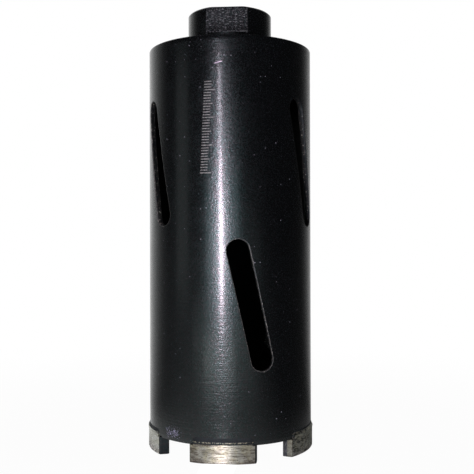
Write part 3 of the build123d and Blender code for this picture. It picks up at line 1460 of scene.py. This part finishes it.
@dataclass
class EndPlate:
    """The disc welded into the top of the barrel, with both of its welds."""

    clearance: float = 0.05
    disc_break: float = 0.2
    disc_rings: int = 6
    steps_a_ripple: float = 6.0
    ripple_power: float = 0.7
    wander: float = 0.8
    wander_size: float = 3.0
    wander_depth: float = 0.5
    sink: float = 0.002
    rim_rings: int = 9
    rim_lift: Span = (0.55, 0.4)
    rim_power: float = 0.8
    foot_rings: int = 11
    foot_bulge: Span = (0.05, 0.22)
    sharp_above: float = 60.0
    round_steps: int = 360

    def disc(self, barrel: Barrel, hub: Hub) -> bpy.types.Object:
        """Builds the turned disc.

        Args:
            barrel: The barrel that it sits in.
            hub: The hub whose spigot it holds.

        Returns:
            The disc.
        """
        low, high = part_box("end_plate")
        bottom, top = low.z / MM, high.z / MM
        outer = barrel.bore - self.clearance
        hole = hub.thread_radius + hub.spigot_wall + self.clearance
        turns = even_turns(self.round_steps // 2)
        steps = np.linspace(outer - barrel.groove, hole, self.disc_rings)
        rings = [on_circle(radius, turns, top) for radius in steps]
        rings += [on_circle(hole, turns, bottom), on_circle(outer - self.disc_break, turns, bottom)]
        rings += [on_circle(outer, turns, bottom + self.disc_break), on_circle(outer, turns, top - barrel.groove)]
        piece = MeshPiece("end_disc")
        piece.loft(rings, closed_loop=True)
        disc = piece.finish()
        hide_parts("end_plate")
        return disc

    def bead(self, name: str, node: str, section: Callable[[np.ndarray], list[np.ndarray]]) -> bpy.types.Object:
        """Builds a ring of weld with the ripples that the arc leaves.

        Args:
            name: The piece's name.
            node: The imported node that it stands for.
            section: Gives the bead's rings from the ripple at each turn.

        Returns:
            The bead.
        """
        turns = even_turns(self.round_steps)
        size, depth = self.wander_size, self.wander_depth
        places = [Vector((size * math.cos(a), size * math.sin(a), depth)) for a in np.radians(turns)]
        wander = np.array([noise.noise(place) for place in places])
        phase = turns / 360.0 * self.round_steps / self.steps_a_ripple + self.wander * wander
        ripple = np.abs(np.sin(math.pi * phase)) ** self.ripple_power
        piece = MeshPiece(name)
        piece.loft(section(ripple), closed_loop=True)
        bead = piece.finish(self.sharp_above)
        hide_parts(node)
        return bead

    def rim_weld(self, barrel: Barrel) -> bpy.types.Object:
        """Builds the weld in the groove round the rim, ground nearly level.

        Args:
            barrel: The barrel whose rim it fills.

        Returns:
            The weld.
        """
        turns = even_turns(self.round_steps)
        crown = (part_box("rim_weld")[1].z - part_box("barrel")[1].z) / MM
        inside = barrel.bore - self.clearance

        def rings(ripple: np.ndarray) -> list[np.ndarray]:
            """Draws the bead from the disc's side over the crown to the root.

            Args:
                ripple: The ripple at each turn.

            Returns:
                The bead's rings.
            """
            found = []
            for share in np.linspace(0.0, 1.0, self.rim_rings):
                radius = inside - barrel.groove + share * (2 * barrel.groove + self.clearance)
                lift = math.sin(math.pi * share) ** self.rim_power
                height = barrel.rim + crown * lift * (self.rim_lift[0] + self.rim_lift[1] * ripple)
                found.append(on_circle(radius, turns, height - self.sink))
            found.append(on_circle(barrel.bore, turns, barrel.rim - barrel.groove))
            found.append(on_circle(inside, turns, barrel.rim - barrel.groove))
            return found

        return self.bead("rim_bead", "rim_weld", rings)

    def hub_weld(self, hub: Hub) -> bpy.types.Object:
        """Builds the fillet weld round the foot of the hub.

        Args:
            hub: The hub.

        Returns:
            The weld.
        """
        turns = even_turns(self.round_steps)
        low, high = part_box("hub_weld")
        leg = (high.z - low.z) / MM

        def rings(ripple: np.ndarray) -> list[np.ndarray]:
            """Draws the bead from its upper toe to its lower one and back under it.

            Args:
                ripple: The ripple at each turn.

            Returns:
                The bead's rings.
            """
            found = []
            for share in np.linspace(0.0, 1.0, self.foot_rings):
                bulge = math.sin(math.pi * share) * (self.foot_bulge[0] + self.foot_bulge[1] * ripple)
                radius = hub.radius + leg * share + bulge
                height = hub.shoulder + leg * (1 - share) + bulge
                found.append(on_circle(radius, turns, height - self.sink))
            found.append(on_circle(hub.radius, turns, hub.shoulder))
            return found

        return self.bead("foot_bead", "hub_weld", rings)

    def build(self, barrel: Barrel, hub: Hub) -> list[bpy.types.Object]:
        """Builds the disc and its two welds.

        Args:
            barrel: The barrel that holds the disc.
            hub: The hub that the disc holds.

        Returns:
            The disc, the weld round the rim and the weld round the hub.
        """
        made = [self.disc(barrel, hub), self.rim_weld(barrel), self.hub_weld(hub)]
        log.info("end plate: %d pieces", len(made))
        return made

    def dress(self, pieces: Sequence[bpy.types.Object], shop: PaintShop) -> None:
        """Paints the disc and its welds.

        Args:
            pieces: The pieces as build gives them.
            shop: Where the finishes are made.
        """
        disc, rim_bead, foot_bead = pieces
        shop.dress(disc, "barrel_paint", "black_paint")
        shop.dress(rim_bead, "barrel_paint", "rough_paint")
        shop.dress(foot_bead, "hub_paint", "rough_paint")


class Face(Enum):
    """The finishes of a segment's faces, by material index."""

    GROUND = 0
    PAINTED = 1
    BARE_END = 2
    SPATTERED_END = 3


class BeadFinish(Enum):
    """The finishes of a segment's bead, by material index."""

    GROUND = 0
    PAINTED = 1
    RUBBED_HIGHLIT = 2


@dataclass
class Segment:
    """One cutting segment and the weld bead over its joint."""

    number: int
    turn: float
    bare_share: float = 0.16
    length: float = 24.4
    outer: float = 32.5
    inner: float = 29.0
    height: float = 6.5
    corner: float = 0.5
    edge_break: float = 0.3
    edge_section: tuple[Span, ...] = ((1.6, 0.0), (0.9, 0.08), (0.3, 0.4), (0.0, 1.0))  # inset and height
    corner_loss: float = 0.5
    least_corner: float = 0.15
    end_reach: Span = (0.12, 0.88)
    unevenness: float = 0.03
    uneven_scale: float = 0.5
    bare_from: float = 30.6
    end_depth: float = 0.4
    inner_depth: float = 0.6
    block_sharp: float = 40.0
    bead_section: tuple[Span, ...] = (
        (0.0, 0.0), (1.0, 0.0), (1.0, 0.15), (1.0, 0.24), (1.06, 0.28), (1.24, 0.34), (1.36, 0.40), (1.31, 0.44),
        (1.24, 0.49), (1.13, 0.535), (1.00, 0.58), (0.68, 0.70), (0.38, 0.81), (0.16, 0.91), (0.03, 0.98), (0.0, 1.0),
    )  # outward and up, as shares
    bead_margin: float = 0.7
    bead_end: float = 0.8
    bead_crest: float = 0.15
    bead_taper: float = 3.5  # degrees
    bead_tip: Span = (0.10, 0.60)
    bead_level: float = 0.24
    bead_wave: Span = (0.08, 0.04)
    bead_wave_size: Span = (0.30, 3.1)
    bead_root: float = 0.01
    # Where the crest's pale line lies, as shares of the bead's height: rubbed paint and a painted highlight.
    bead_rubbed_highlight: Span = (0.36, 0.47)
    bead_sharp: float = 50.0
    arc_steps: int = 64
    corner_steps: int = 4
    end_steps: int = 7
    height_steps: int = 13
    bead_steps: int = 120

    def outline(self, inset: float) -> np.ndarray:
        """The block seen from above, in millimetres, with rounded corners.

        Args:
            inset: How far inside the full outline it runs.

        Returns:
            Points all the way round, starting at the outer face's first corner.
        """
        half = self.length / 2 - inset
        outer, inner = self.outer - inset, self.inner + inset
        corner = max(self.corner - inset * self.corner_loss, self.least_corner)
        points: list[Span] = []
        for across in np.linspace(-half + corner, half - corner, self.arc_steps):
            points.append((across, math.sqrt(outer**2 - across**2)))
        points += self.rounded(half, outer, corner, from_outside=True)
        inner_edge = math.sqrt(inner**2 - (half - corner) ** 2)
        outer_edge = math.sqrt(outer**2 - half**2)
        for share in np.linspace(*self.end_reach, self.end_steps + 1):
            points.append((half, outer_edge - corner + share * (inner_edge + corner - outer_edge + corner)))
        points += self.rounded(half, inner, corner, from_outside=False)
        for across in np.linspace(half - corner, -half + corner, self.arc_steps):
            points.append((across, math.sqrt(inner**2 - across**2)))
        other_end = [(-x, y) for x, y in points if x - half > -corner * ALMOST_ALL]
        return np.array(points + sorted(other_end, key=lambda point: point[1]))

    def rounded(self, half: float, radius: float, corner: float, from_outside: bool) -> list[Span]:
        """Rounds the corner between a curved face and the end face.

        Args:
            half: Half of the block's length.
            radius: The curved face's radius.
            corner: The corner's radius.
            from_outside: Whether the outline comes from the outer face.

        Returns:
            The corner's points.
        """
        start = np.array([half - corner, math.sqrt(radius**2 - (half - corner) ** 2)])
        edge = math.sqrt(radius**2 - half**2)
        end = np.array([half, edge - corner if from_outside else edge + corner])
        middle = np.array([half, edge])
        first, last = (start, end) if from_outside else (end, start)
        points = []
        for share in np.linspace(0.0, 1.0, self.corner_steps + 1):
            point = (1 - share) ** 2 * first + 2 * share * (1 - share) * middle + share**2 * last
            points.append((float(point[0]), float(point[1])))
        return points

    def ring(self, inset: float, height: float) -> np.ndarray:
        """The outline at a height, with the slight unevenness of a ground block.

        Args:
            inset: How far inside the full outline it runs.
            height: Its height.

        Returns:
            The ring's points.
        """
        flat = self.outline(inset)
        places = flat[:, :1] * sideways(self.turn) + flat[:, 1:] * outward(self.turn)
        places[:, 2] = height
        scale = self.uneven_scale
        for place in places:
            spot = Vector((place[0] * scale, place[1] * scale, height * scale + self.number))
            shift = -self.unevenness + self.unevenness * noise.noise(spot)
            place[:2] += shift * outward(self.turn)[:2]
        return places

    def block(self) -> bpy.types.Object:
        """Builds the segment, with its faces sorted by finish.

        Returns:
            The segment.
        """
        piece = MeshPiece(f"cutting_segment_{self.number}")
        edge = self.edge_break
        levels = [(edge * inset, edge * height) for inset, height in self.edge_section]
        levels += [(0.0, height) for height in np.linspace(edge, self.height, self.height_steps + 1)[1:]]
        rows = piece.loft([self.ring(inset, height) for inset, height in levels])
        bottom = piece.cap(rows[0])
        piece.cap(rows[-1])
        bmesh.ops.triangulate(piece.bm, faces=[bottom])
        for face in piece.bm.faces:
            face.material_index = self.facing(face).value
        block = piece.finish(self.block_sharp)
        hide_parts(f"segment_{self.number}")
        return block

    def facing(self, face: bmesh.types.BMFace) -> Face:
        """Sorts a face of the block by where it lies.

        Args:
            face: The face.

        Returns:
            Its finish.
        """
        middle = np.array(face.calc_center_median()) / MM
        across = float(middle @ sideways(self.turn))
        reach = math.hypot(middle[0], middle[1])
        end = self.length / 2 - self.end_depth
        if across > end:
            return Face.PAINTED
        if across < -end:
            return Face.BARE_END if reach > self.bare_from else Face.SPATTERED_END
        if reach < self.inner + self.inner_depth and middle[2] > self.edge_break:
            return Face.PAINTED
        return Face.GROUND

    def bead_finish(self, share: float, from_end: float) -> BeadFinish:
        """Sorts a face of the bead by where it lies.

        Args:
            share: The face's height as a share of the bead's.
            from_end: Its distance from the bead's end in millimetres.

        Returns:
            Its finish.
        """
        if share < self.bare_share:
            return BeadFinish.GROUND if from_end > self.bead_end else BeadFinish.RUBBED_HIGHLIT
        low, high = self.bead_rubbed_highlight
        return BeadFinish.RUBBED_HIGHLIT if low < share < high else BeadFinish.PAINTED

    def bead_ring(self, share: float, wall_radius: float, foot: float, top: float) -> np.ndarray:
        """One section of the bead: ground level below, a crest, and a slope up the wall.

        Args:
            share: Where it lies, from -1 at one end to 1 at the other.
            wall_radius: The barrel's outer radius.
            foot: The height of the bead's foot.
            top: The height of its top.

        Returns:
            The section's points.
        """
        half = math.degrees((self.length / 2 - self.bead_margin) / self.outer)
        turn = self.turn + half * share
        end = min(1.0, (1 - abs(share)) * half / self.bead_taper)
        swell = math.sqrt(max(1 - (1 - end) ** 2, 0.0))
        size, apart = self.bead_wave_size
        wave = noise.noise(Vector((turn * size, self.number * apart, 0.0)))
        out_wave, up_wave = self.bead_wave
        out_tip, up_tip = self.bead_tip
        stand = self.outer - wall_radius
        ring = []
        for out, up in self.bead_section:
            proud = out if up <= self.bead_level else out + out_wave * wave * min(out, 1.0)
            reach = min(stand * proud * (out_tip + (1 - out_tip) * swell), stand + self.bead_crest)
            lift = up * (up_tip + (1 - up_tip) * swell) * (1 + up_wave * wave * (up > 0.5))
            height = min(foot + (top - foot) * lift, top)
            ring.append(on_circle(wall_radius - self.bead_root + reach, np.array([turn]), height)[0])
        return np.array(ring)

    def bead(self, wall_radius: float) -> bpy.types.Object:
        """Builds the bead over the joint.

        Args:
            wall_radius: The barrel's outer radius.

        Returns:
            The bead.
        """
        low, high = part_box(f"segment_weld_{self.number}")
        foot, top = low.z / MM, high.z / MM
        piece = MeshPiece(f"segment_bead_{self.number}")
        shares = np.linspace(-1.0, 1.0, self.bead_steps + 1)
        rows = piece.loft([self.bead_ring(share, wall_radius, foot, top) for share in shares])
        for face in piece.bm.faces:
            middle = np.array(face.calc_center_median()) / MM
            from_end = self.length / 2 - self.bead_margin - abs(float(middle @ sideways(self.turn)))
            face.material_index = self.bead_finish((middle[2] - foot) / (top - foot), from_end).value
        for row in (rows[0], rows[-1]):
            piece.cap(row).material_index = BeadFinish.PAINTED.value
        bead = piece.finish(self.bead_sharp)
        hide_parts(f"segment_weld_{self.number}")
        return bead

    def dress(self, block: bpy.types.Object, bead: bpy.types.Object, metal: str, shop: PaintShop) -> None:
        """Gives the segment and its bead their finishes, in the order of Face and BeadFinish.

        Args:
            block: The segment.
            bead: Its bead.
            metal: The finish of their ground faces.
            shop: Where the finishes are made.
        """
        shop.dress(block, "segment_metal", metal, "rough_paint", "end_metal", "thin_end_paint")
        # The bead's paint is a painted sheen, and its crest line is partly a painted highlight.
        shop.dress(bead, "weld_paint", metal, "bead_sheen_paint", "rubbed_crest_highlight")


@dataclass
class SegmentRing:
    """The cutting segments all round the barrel's foot."""

    first_turn: float = -5.4
    bare_shares: tuple[float, ...] = (0.16, 0.80, 0.26, 0.20, 0.62)
    # The front segment keeps the plain ground metal; the left one carries painted light and the right one painted
    # shade.
    metals: tuple[str, ...] = ("ground_metal", "painted_shade_metal", "plain_metal", "painted_shade_metal", "painted_light_metal")

    def build(self, barrel: Barrel, shop: PaintShop) -> None:
        """Builds and dresses each segment and its bead.

        Args:
            barrel: The barrel that they stand on.
            shop: Where the finishes are made.
        """
        turns = even_turns(len(self.bare_shares), self.first_turn)
        for number, (turn, bare, metal) in enumerate(zip(turns, self.bare_shares, self.metals), start=1):
            segment = Segment(number=number, turn=float(turn), bare_share=bare)
            segment.dress(segment.block(), segment.bead(barrel.radius), metal, shop)
        log.info("segments: %d with their beads", len(turns))


@dataclass
class Graduations:
    """A plain row of etched strokes up the barrel, without figures, and a nick beside it."""

    foot: Span = (-16.0, 105.0)  # turn and height
    head: Span = (-13.0, 138.0)
    pitch: float = 1.0
    stroke: float = 0.32
    stroke_steps: int = 5
    lengths: tuple[float, float, float] = (2.7, 3.4, 4.2)
    middle_every: int = 5
    long_every: int = 10
    chip_turns: Span = (-10.4, -4.8)
    chip_heights: Span = (144.5, 145.1)
    chip_width: float = 0.34
    chip_steps: int = 12
    chip_reach: Span = (0.06, 0.88)
    chip_power: float = 0.6

    def length(self, number: int) -> float:
        """The length of a stroke, counted from 0 at the foot."""
        short, middle, long = self.lengths
        return long if number % self.long_every == 0 else middle if number % self.middle_every == 0 else short

    def strokes(self, barrel: Barrel) -> bpy.types.Object:
        """Builds the strokes, longer at every fifth and tenth.

        Args:
            barrel: The barrel that carries them.

        Returns:
            The strokes as one piece.
        """
        piece = MeshPiece("graduations")
        count = int((self.head[1] - self.foot[1]) / self.pitch)
        degrees = 1.0 / math.radians(barrel.radius)
        for number in range(count + 1):
            middle = self.foot[0] + number / count * (self.head[0] - self.foot[0])
            start = middle - max(self.lengths) / 2 * degrees
            turns = start + np.linspace(0.0, self.length(number) * degrees, self.stroke_steps + 1)
            flat = np.full_like(turns, self.foot[1] + number * self.pitch)
            piece.patch(barrel.radius, turns, flat - self.stroke / 2, flat + self.stroke / 2)
        return piece.finish()

    def chip(self, barrel: Barrel) -> bpy.types.Object:
        """Builds the sliver where the paint is nicked.

        Args:
            barrel: The barrel that carries it.

        Returns:
            The sliver.
        """
        piece = MeshPiece("paint_nick")
        shares = np.linspace(0.0, 1.0, self.chip_steps + 1)
        turns = self.chip_turns[0] + shares * (self.chip_turns[1] - self.chip_turns[0])
        rise = self.chip_heights[1] - self.chip_heights[0]
        middle = self.chip_heights[0] + rise * (3 * shares**2 - 2 * shares**3)
        start, extent = self.chip_reach
        half = self.chip_width / 2 * np.sin(np.pi * (start + extent * shares)) ** self.chip_power
        piece.patch(barrel.radius, turns, middle - half, middle + half)
        return piece.finish()

    def build(self, barrel: Barrel) -> tuple[bpy.types.Object, bpy.types.Object]:
        """Builds the strokes and the nick.

        Args:
            barrel: The barrel that carries them.

        Returns:
            The strokes and the nick.
        """
        made = self.strokes(barrel), self.chip(barrel)
        log.info("graduations: %d faces", len(made[0].data.polygons))
        return made

    def dress(self, strokes: bpy.types.Object, chip: bpy.types.Object, shop: PaintShop) -> None:
        """Gives the strokes and the nick their finishes."""
        shop.dress(strokes, "barrel_paint", "etched_mark")
        shop.dress(chip, "barrel_paint", "paint_chip")


# ---------------------------------------------------------------------------------------------
# Studio
# ---------------------------------------------------------------------------------------------


@dataclass(frozen=True)
class Camera:
    """The camera, level with the middle of the bit; lengths in millimetres and angles in degrees."""

    distance: float = 311.5
    height: float = 80.8
    yaw: float = 0.499
    pitch: float = 0.203
    roll: float = -0.134
    focal_length: float = 59.03
    sensor: float = 36.0
    nearest: float = 10.0

    def turned(self) -> Matrix:
        """How the camera is turned.

        Returns:
            The turn as a matrix of four rows.
        """
        yaw, pitch, roll = (math.radians(angle) for angle in (self.yaw, self.pitch, self.roll))
        ahead = Vector((math.sin(yaw) * math.cos(pitch), math.cos(yaw) * math.cos(pitch), math.sin(pitch)))
        right = Vector((math.cos(yaw), -math.sin(yaw), 0.0))
        up = right.cross(ahead)
        rolled_right = math.cos(roll) * right + math.sin(roll) * up
        rolled_up = math.cos(roll) * up - math.sin(roll) * right
        return Matrix((rolled_right, rolled_up, -ahead)).transposed().to_4x4()

    def build(self) -> None:
        """Sets up the scene's camera."""
        data = bpy.data.cameras.new("camera")
        data.sensor_width = self.sensor
        data.lens = self.focal_length
        data.clip_start = self.nearest * MM
        camera = bpy.data.objects.new("camera", data)
        bpy.context.scene.collection.objects.link(camera)
        place = Vector((0.0, -self.distance, self.height)) * MM
        camera.matrix_world = Matrix.Translation(place) @ self.turned()
        bpy.context.scene.camera = camera
        log.info("camera: %.1f mm away", self.distance)


@dataclass(frozen=True)
class Lamp:
    """A soft rectangular lamp that the camera doesn't see; lengths in metres and power in watts."""

    name: str
    place: Place
    aim: Place
    size: Span  # width and height
    power: float
    tint: Colour
    lean: float = 0.0  # degrees that its top leans to its left

    def build(self) -> None:
        """Adds the lamp to the scene."""
        data = bpy.data.lights.new(self.name, "AREA")
        data.shape = "RECTANGLE"
        data.size, data.size_y = self.size
        data.energy = self.power
        data.color = self.tint
        lamp = bpy.data.objects.new(self.name, data)
        bpy.context.scene.collection.objects.link(lamp)
        lamp.location = self.place
        lamp.rotation_mode = "QUATERNION"
        facing = (Vector(self.aim) - Vector(self.place)).to_track_quat("-Z", "Y")
        lamp.rotation_quaternion = facing @ Quaternion((0.0, 0.0, 1.0), math.radians(self.lean))
        lamp.visible_camera = False


# The three keys make the narrow highlight up the barrel, and the glow lies round it.
LAMPS = (
    Lamp("key", (-0.0670, -0.319, 0.084), (0.0, 0.0, 0.082), (0.013, 0.116), 0.36, (1.0, 0.82, 0.95), 5.0),
    Lamp("key_head", (-0.0750, -0.317, 0.172), (0.0, 0.0, 0.130), (0.008, 0.080), 0.090, (0.97, 0.88, 1.0), 5.0),
    Lamp("key_foot", (-0.064, -0.320, 0.078), (0.0, 0.0, 0.073), (0.032, 0.060), 0.165, (1.0, 0.84, 0.96)),
    Lamp("glow", (-0.060, -0.325, 0.080), (0.0, 0.0, 0.085), (0.26, 0.10), 0.094, (0.62, 0.95, 1.0)),
    Lamp("right", (0.130, -0.290, 0.045), (0.0, 0.0, 0.060), (0.16, 0.10), 0.007, (0.85, 1.0, 1.0)),
    Lamp("low", (-0.050, -0.190, 0.010), (0.0, 0.0, 0.020), (0.14, 0.020), 0.014, (0.92, 1.0, 0.97)),
    Lamp("low_wide", (-0.030, -0.200, 0.014), (0.0, 0.0, 0.020), (0.36, 0.028), 0.014, (0.90, 1.0, 0.98)),
    Lamp("fill", (-0.877, -0.337, 0.10), (0.0, 0.0, 0.08), (0.32, 0.52), 0.165, (0.95, 1.0, 1.0)),
)


class SkySheet(NodeSheet):
    """The nodes of the scene's surroundings."""

    def __init__(self, name: str) -> None:
        """Starts surroundings with one white Background shader on their output.

        Args:
            name: Their name.
        """
        world = bpy.data.worlds.new(name)
        bpy.context.scene.world = world
        world.use_nodes = True
        self.tree = world.node_tree
        self.tree.nodes.clear()
        self.shader = self.tree.nodes.new("ShaderNodeBackground")
        self.shader.inputs["Color"].default_value = (1.0, 1.0, 1.0, 1.0)
        self.output = self.tree.nodes.new("ShaderNodeOutputWorld")
        self.tree.links.new(self.shader.outputs["Background"], self.output.inputs["Surface"])
        self.place = self.tree.nodes.new("ShaderNodeTexCoord").outputs["Generated"]


@dataclass(frozen=True)
class Surroundings:
    """Surroundings that are bright behind the bit and dim in front, and white to the camera."""

    lean: float = -0.19  # how far the bright side leans to the left
    bright_from: Span = (0.25, 1.00)
    levels: Span = (0.02, 0.93)
    steepness: float = 2.3

    def share(self, sheet: NodeSheet, behind: Socket) -> Socket:
        """How bright a direction is.

        Args:
            sheet: The sheet that the nodes go on.
            behind: How far the direction points behind the bit, from -1 to 1.

        Returns:
            The share of the full brightness, from 0 to 1.
        """
        return sheet.math("POWER", sheet.ramp(behind, *self.bright_from, smooth=False), self.steepness)

    def build(self) -> None:
        """Sets the scene's surroundings."""
        sheet = SkySheet("surroundings")
        x, y, _ = sheet.axes()
        share = self.share(sheet, sheet.math("MULTIPLY_ADD", x, self.lean, y))
        level = sheet.ramp(share, 0.0, 1.0, *self.levels, smooth=False)
        sheet.feed(sheet.shader.inputs["Strength"], sheet.math("MAXIMUM", sheet.ray(Ray.CAMERA), level))


@dataclass(frozen=True)
class Floor:
    """A pale floor that keeps the bit's shadow, fades to white, and glows where the bit mirrors it."""

    radius: float = 30.0  # metres
    steps: int = 128
    tone: Colour = (0.78, 0.78, 0.78)
    roughness: float = 0.9
    whiteness: Step = (0.06, 0.30, 0.97, 1.0)
    mirrored_from: Span = (0.032, 0.042)
    back_lean: float = -0.16
    back_share: float = 0.86
    front_lean: float = -0.25
    sides: Step = (-0.9, 0.9, 0.09, 0.03)
    pool: Step = (0.1, 1.1, 0.0, 0.24)
    pool_reach: Step = (0.13, 0.32, 1.0, 0.35)
    near: Step = (-0.9, 0.9, 0.34, 0.10)
    near_reach: Step = (0.045, 0.11, 1.0, 0.0)
    glint: Step = (0.001, 0.008, 3.0, 0.0)
    glint_line: Span = (0.992, -0.125)
    glint_front: Span = (0.0, 0.5)
    glint_reach: Step = (0.046, 0.075, 1.0, 0.0)

    def glow(self, sheet: NodeSheet, sky: Surroundings) -> Socket:
        """How brightly the floor shows in what mirrors it.

        Args:
            sheet: The floor's sheet.
            sky: The surroundings, which light the floor behind the bit.

        Returns:
            The strength's socket.
        """
        reach = sheet.radius()
        x, y, _ = sheet.axes()
        aside = sheet.math("DIVIDE", x, reach)
        leaned = sheet.math("DIVIDE", sheet.math("MULTIPLY_ADD", x, self.back_lean, y), reach)
        behind = sheet.times(sky.share(sheet, leaned), sky.levels[1] * self.back_share)
        front = sheet.math("DIVIDE", sheet.math("MULTIPLY_ADD", x, self.front_lean, sheet.times(y, -1.0)), reach)
        pool = sheet.times(sheet.ramp(front, *self.pool), sheet.ramp(reach, *self.pool_reach))
        near = sheet.times(sheet.ramp(aside, *self.near), sheet.ramp(reach, *self.near_reach))
        across, along = self.glint_line
        offset = sheet.math("ABSOLUTE", sheet.math("MULTIPLY_ADD", x, across, sheet.times(y, along)))
        glint = sheet.times(
            sheet.ramp(offset, *self.glint),
            sheet.ramp(front, *self.glint_front),
            sheet.ramp(reach, *self.glint_reach),
        )
        return sheet.plus(behind, sheet.ramp(aside, *self.sides), pool, glint, near)

    def build(self, sky: Surroundings) -> None:
        """Lays the floor.

        Args:
            sky: The surroundings, which light the floor behind the bit.
        """
        circle = bmesh.new()
        bmesh.ops.create_circle(circle, cap_ends=True, segments=self.steps, radius=self.radius)
        mesh = bpy.data.meshes.new("floor")
        circle.to_mesh(mesh)
        circle.free()
        floor = bpy.data.objects.new("floor", mesh)
        bpy.context.scene.collection.objects.link(floor)
        sheet = NodeSheet("pale_floor")
        camera, reach = sheet.ray(Ray.CAMERA), sheet.radius()
        white = sheet.times(camera, sheet.ramp(reach, *self.whiteness))
        mirrored = sheet.times(sheet.ray(Ray.GLOSSY), sheet.ramp(reach, *self.mirrored_from))
        strength = sheet.math("MAXIMUM", camera, self.glow(sheet, sky))
        sheet.shine(strength, sheet.math("MAXIMUM", white, mirrored))
        mesh.materials.append(sheet.surface(Base_Color=self.tone, Roughness=self.roughness))


@dataclass(frozen=True)
class Studio:
    """The camera, the lamps, the surroundings and the floor."""

    camera: Camera = Camera()
    lamps: tuple[Lamp, ...] = LAMPS
    surroundings: Surroundings = Surroundings()
    floor: Floor = Floor()

    def build(self) -> None:
        """Sets up the whole studio."""
        self.camera.build()
        for lamp in self.lamps:
            lamp.build()
        self.surroundings.build()
        self.floor.build(self.surroundings)
        bpy.context.scene.view_settings.view_transform = "Standard"
        log.info("studio: %d lamps", len(self.lamps))


def main() -> None:
    """Builds and dresses the bit."""
    logging.basicConfig(level=logging.INFO, format="%(message)s")
    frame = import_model()
    log.info("frame: %d nodes", len(frame["nodes"]))
    shop = PaintShop(FINISHES)
    barrel, hub, end_plate, graduations = Barrel(), Hub(), EndPlate(), Graduations()
    barrel.dress(barrel.build(), shop)
    hub.dress(hub.build(), shop)
    end_plate.dress(end_plate.build(barrel, hub), shop)
    SegmentRing().build(barrel, shop)
    graduations.dress(*graduations.build(barrel), shop)
    Studio().build()


if __name__ == "__main__":
    main()
